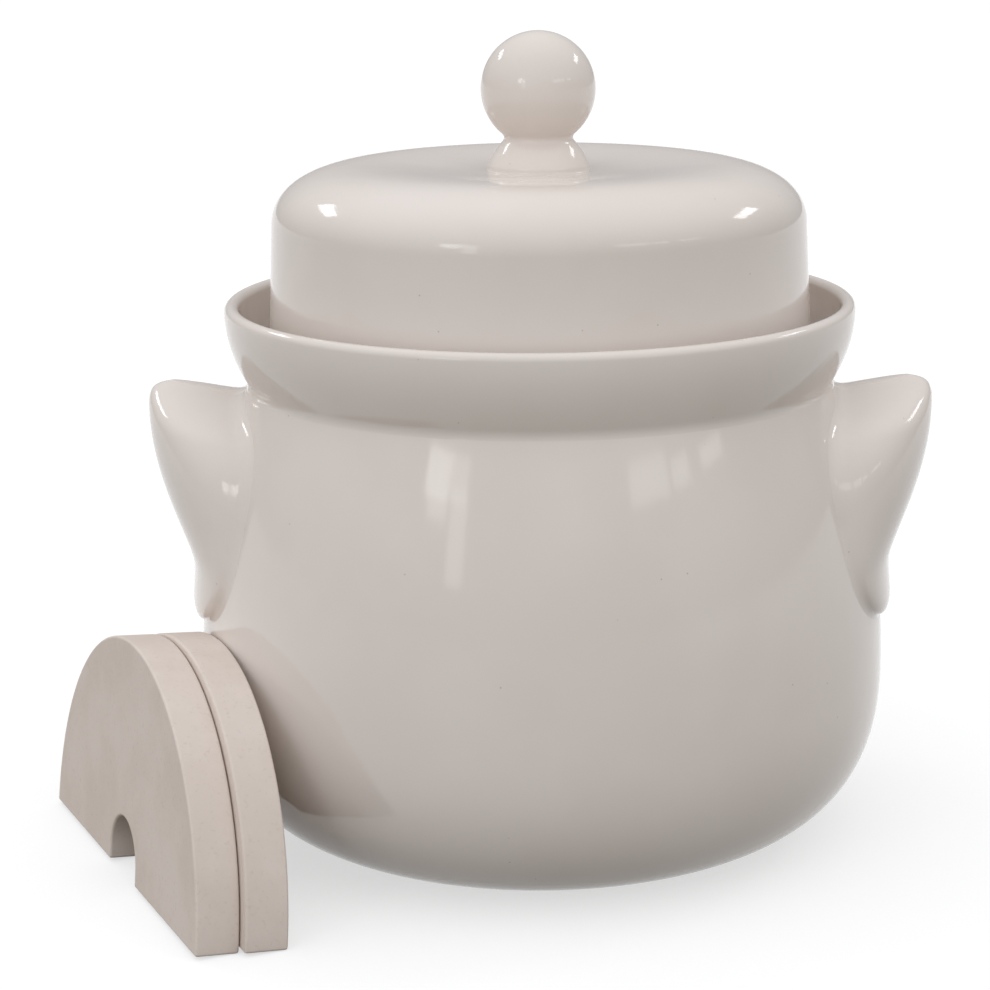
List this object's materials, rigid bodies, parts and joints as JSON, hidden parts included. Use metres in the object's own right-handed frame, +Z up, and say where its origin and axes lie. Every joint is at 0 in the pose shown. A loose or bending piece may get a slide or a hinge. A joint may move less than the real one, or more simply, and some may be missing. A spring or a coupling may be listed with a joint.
{
  "type": "fermentation crock",
  "caption": "Round-bellied glazed fermentation crock with wing lug handles, a water-seal gutter, a round-shouldered ball-knob lid, and half-moon weight stones leaning on its side.",
  "frame": {"origin": "on the pot's axis, at the middle of its flat foot", "axes": "+Z up along the pot's axis, +X towards the right handle, -Y towards the viewer of the picture"},
  "size_m": [0.3133, 0.2537, 0.2781],
  "materials": {
    "glaze": "gloss",
    "bisque": "matte"
  },
  "bodies": {
    "crock": {"crock_body": "glaze", "water_gutter": "glaze", "left_handle": "glaze", "right_handle": "glaze"},
    "lid": {"lid": "glaze", "lid_knob": "glaze"},
    "front_weight": {"front_weight": "bisque"},
    "rear_weight": {"rear_weight": "bisque"}
  },
  "joints": [
    {"name": "lid_lift", "type": "slide", "parent": "crock", "child": "lid", "axis": [0, 0, 1], "range_m": [0, 0.12]},
    {"name": "front_weight_lift", "type": "slide", "parent": "crock", "child": "front_weight", "axis": [0, 0, 1], "range_m": [0, 0.12]},
    {"name": "rear_weight_slide", "type": "slide", "parent": "crock", "child": "rear_weight", "axis": [0.4147, -0.91, 0], "range_m": [0, 0.165]}
  ]
}
